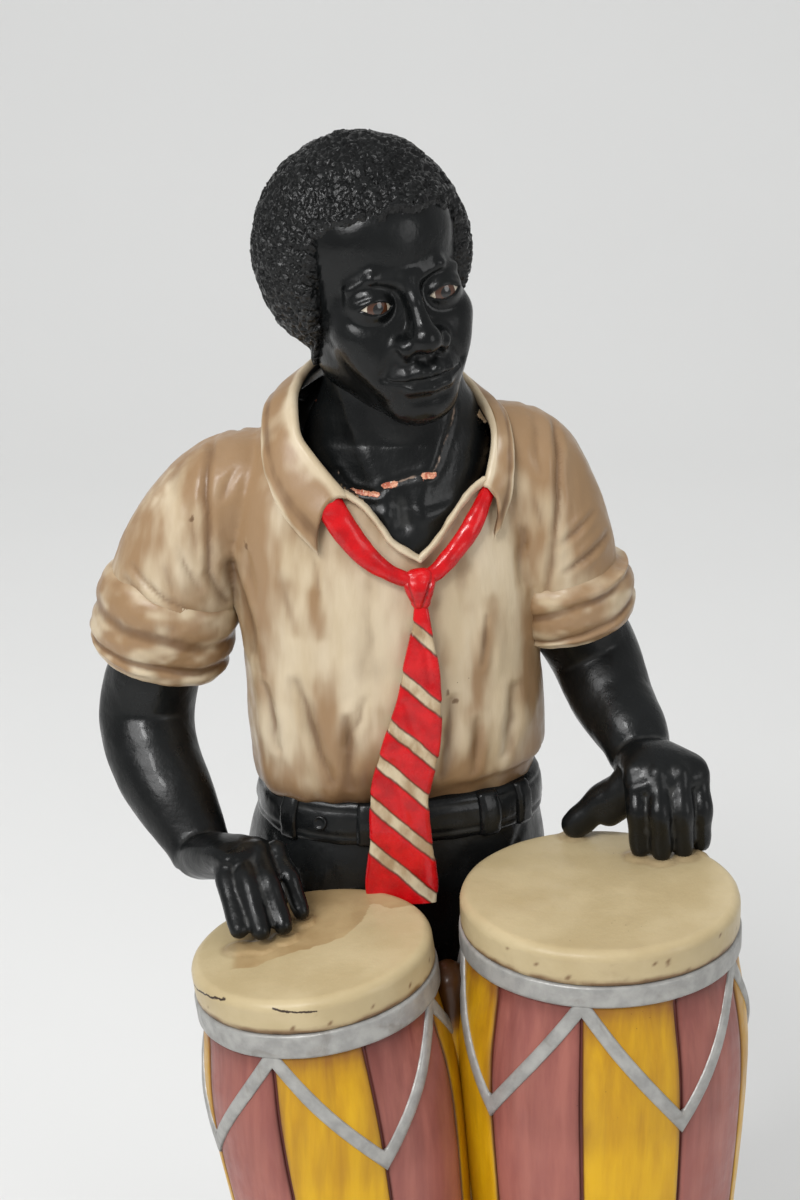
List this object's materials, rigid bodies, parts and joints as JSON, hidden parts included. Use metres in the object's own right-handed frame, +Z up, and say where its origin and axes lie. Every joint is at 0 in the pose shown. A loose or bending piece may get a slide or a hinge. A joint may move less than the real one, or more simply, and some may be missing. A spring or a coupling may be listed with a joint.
{
  "type": "jazz musician figurine",
  "caption": "Painted resin figurine of a conga player in an open shirt and loose striped tie, standing behind a low and a tall drum on an oval base.",
  "frame": {"origin": "middle of the underside of the oval base, which is the widest and the deepest part", "axes": "+Z up; the figure and the drums face -Y; +X is the viewer's right, where the tall drum stands"},
  "size_m": [0.266, 0.194, 0.5611],
  "materials": {
    "black_skin": "gloss black paint on cast resin",
    "hair": "satin black paint, pitted",
    "eyes": "brown painted eyes",
    "bare_resin": "bare resin in chips at the repaired neck",
    "shirt": "satin cream paint with brown wash in the folds",
    "tie": "gloss red paint with cream stripes",
    "trousers": "satin black paint",
    "shoes": "gloss black paint",
    "drum_skin": "satin cream paint with brown wash",
    "silver_band": "silver grey paint",
    "yellow_stave": "brushed yellow paint with dark wash",
    "red_stave": "dusty red paint with dark wash",
    "base": "satin black paint"
  },
  "bodies": {
    "root": {"conga_player": "shirt"}
  },
  "joints": []
}
